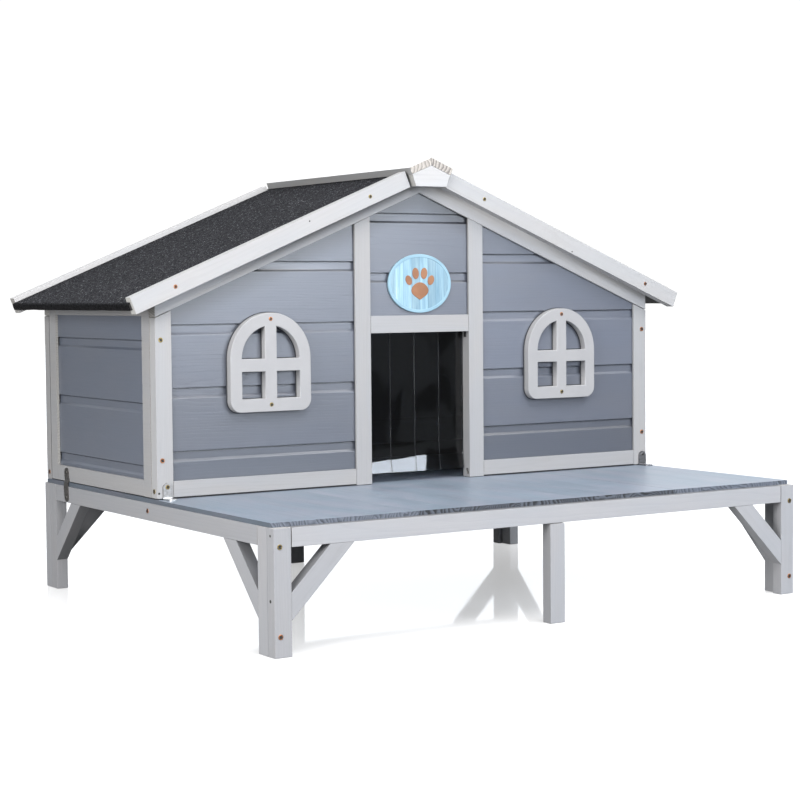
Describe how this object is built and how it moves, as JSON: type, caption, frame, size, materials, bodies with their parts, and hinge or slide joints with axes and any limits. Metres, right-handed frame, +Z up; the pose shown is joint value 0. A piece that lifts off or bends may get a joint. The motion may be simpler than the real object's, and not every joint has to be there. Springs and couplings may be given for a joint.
{
  "type": "cat house",
  "caption": "Raised wooden outdoor cat house with a gabled felt roof, arched mock windows, a doorway with a clear hanging strip curtain, and a front deck on a braced stand.",
  "frame": {"origin": "on the floor, under the middle of the overall box", "axes": "+X to the right seen from the front, +Y from the door towards the back wall, +Z up"},
  "size_m": [1.1048, 0.8506, 0.7385],
  "materials": {
    "frame_wood": "satin pale grey paint on softwood",
    "stand_wood": "satin pale grey paint on softwood",
    "wall_board": "satin blue-grey paint on shiplap boards",
    "deck_board": "satin blue-grey stain with visible grain",
    "bare_wood": "unpainted softwood",
    "roof_felt": "mineral-grained bitumen felt",
    "clear_strip": "clear soft vinyl",
    "screw": "yellow-passivated steel",
    "bracket_zinc": "zinc plated",
    "strap_dark": "dark grey plated steel",
    "plaque": "pale blue painted thin board",
    "clip_black": "moulded"
  },
  "bodies": {
    "house": {"back_bargeboards": "frame_wood", "back_boards": "wall_board", "back_bottom_rails": "frame_wood", "back_rake_rails": "frame_wood", "back_stiles": "frame_wood", "corner_brackets": "bracket_zinc", "deck_panel_far_left": "deck_board", "deck_panel_far_right": "deck_board", "deck_panel_left": "deck_board", "deck_panel_right": "deck_board", "door_jambs": "frame_wood", "door_lintel": "frame_wood", "door_plaque": "plaque", "door_strip_batten": "bare_wood", "door_strip_heads": "clear_strip", "fixing_screws": "screw", "front_bottom_rails": "frame_wood", "front_corner_stiles": "frame_wood", "front_gable_boards": "wall_board", "front_left_bargeboard": "frame_wood", "front_left_boards": "wall_board", "front_rake_rails": "frame_wood", "front_right_bargeboard": "frame_wood", "front_right_boards": "wall_board", "house_screws": "screw", "jamb_clip": "clip_black", "left_roof_board": "bare_wood", "left_roof_felt": "roof_felt", "left_side_boards": "wall_board", "left_side_frame": "frame_wood", "left_window_frame": "frame_wood", "ridge_boards": "frame_wood", "ridge_end_blocks": "frame_wood", "right_roof_board": "bare_wood", "right_roof_felt": "roof_felt", "right_side_boards": "wall_board", "right_side_frame": "frame_wood", "right_window_frame": "frame_wood", "side_straps": "strap_dark", "stand_back_braces": "stand_wood", "stand_back_legs": "stand_wood", "stand_back_middle_leg": "stand_wood", "stand_back_rail": "stand_wood", "stand_bearer": "stand_wood", "stand_front_braces": "stand_wood", "stand_front_legs": "stand_wood", "stand_front_middle_leg": "stand_wood", "stand_front_rail": "stand_wood", "stand_left_braces": "stand_wood", "stand_left_legs": "stand_wood", "stand_left_rail": "stand_wood", "stand_right_braces": "stand_wood", "stand_right_legs": "stand_wood", "stand_right_rail": "stand_wood", "stand_screws": "screw"},
    "strip_1": {"door_strip_1": "clear_strip"},
    "strip_2": {"door_strip_2": "clear_strip"},
    "strip_3": {"door_strip_3": "clear_strip"},
    "strip_4": {"door_strip_4": "clear_strip"}
  },
  "joints": [
    {"name": "strip_1_swing", "type": "hinge", "parent": "house", "child": "strip_1", "pos_m": [-0.0741, -0.0248, 0.442], "axis": [1, 0, 0], "range_deg": [-80, 80]},
    {"name": "strip_2_swing", "type": "hinge", "parent": "house", "child": "strip_2", "pos_m": [-0.0247, -0.0248, 0.442], "axis": [1, 0, 0], "range_deg": [-80, 80]},
    {"name": "strip_3_swing", "type": "hinge", "parent": "house", "child": "strip_3", "pos_m": [0.0247, -0.0248, 0.442], "axis": [1, 0, 0], "range_deg": [-80, 80]},
    {"name": "strip_4_swing", "type": "hinge", "parent": "house", "child": "strip_4", "pos_m": [0.0741, -0.0248, 0.442], "axis": [1, 0, 0], "range_deg": [-80, 80]}
  ]
}
